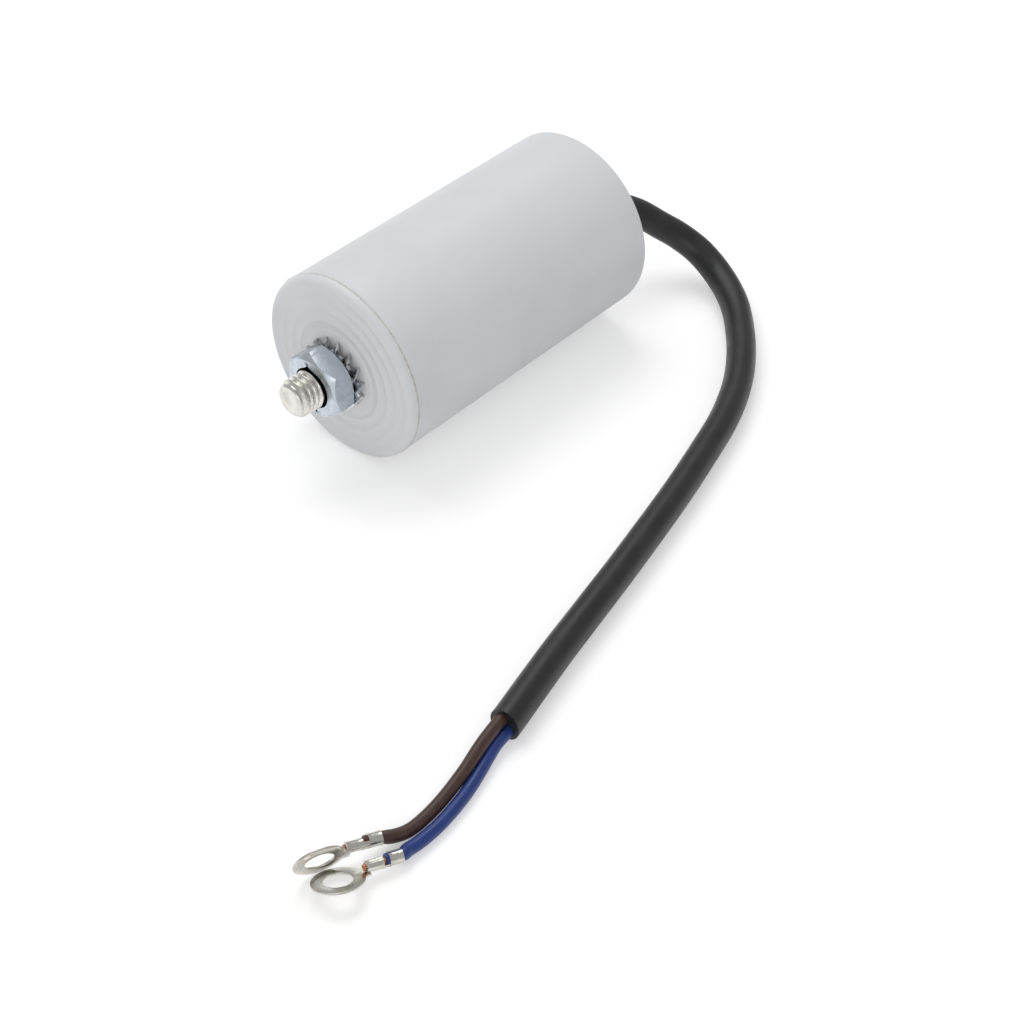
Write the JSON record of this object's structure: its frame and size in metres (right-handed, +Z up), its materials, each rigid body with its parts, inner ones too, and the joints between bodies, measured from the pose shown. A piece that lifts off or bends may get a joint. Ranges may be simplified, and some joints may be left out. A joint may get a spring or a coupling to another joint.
{
  "type": "motor run capacitor",
  "caption": "Round plastic-cased motor run capacitor on its side, with a threaded stud, nut and lock washer at one end and a two-core lead with ring terminals at the other.",
  "frame": {"origin": "centre of the footprint of the case with its stud and collar, on the surface that it lies on; the lead is left out of the footprint", "axes": "X along the case towards the end that the lead leaves, -X out of the threaded stud, +Z up"},
  "size_m": [0.1767, 0.1018, 0.04],
  "materials": {
    "case_plastic": "fine matt white moulded plastic",
    "lid_plastic": "fine matt white moulded plastic",
    "stud_steel": "bright rolled thread, plated",
    "zinc_plate": "bright zinc plate",
    "tin_plate": "dull tin plate",
    "resin": "poured resin",
    "film": "wound metallised film",
    "spray_metal": "rough sprayed zinc",
    "tube_plastic": "moulded plastic tube",
    "solder": "solder",
    "sheath_pvc": "satin black flexible sheath",
    "brown_pvc": "satin brown core insulation",
    "blue_pvc": "satin blue core insulation",
    "copper": "bunched bare copper"
  },
  "bodies": {
    "root": {"case": "case_plastic", "stud": "stud_steel", "lock_washer": "zinc_plate", "nut": "zinc_plate", "lid": "lid_plastic", "potting": "resin", "winding": "film", "winding_core": "tube_plastic", "spray_layer_far": "spray_metal", "spray_layer_near": "spray_metal", "solder_joint_brown": "solder", "solder_joint_blue": "solder", "lead_sheath": "sheath_pvc", "wire_brown": "brown_pvc", "wire_blue": "blue_pvc", "conductor_brown": "copper", "conductor_blue": "copper", "ring_terminal_brown": "tin_plate", "ring_terminal_blue": "tin_plate"}
  },
  "joints": []
}
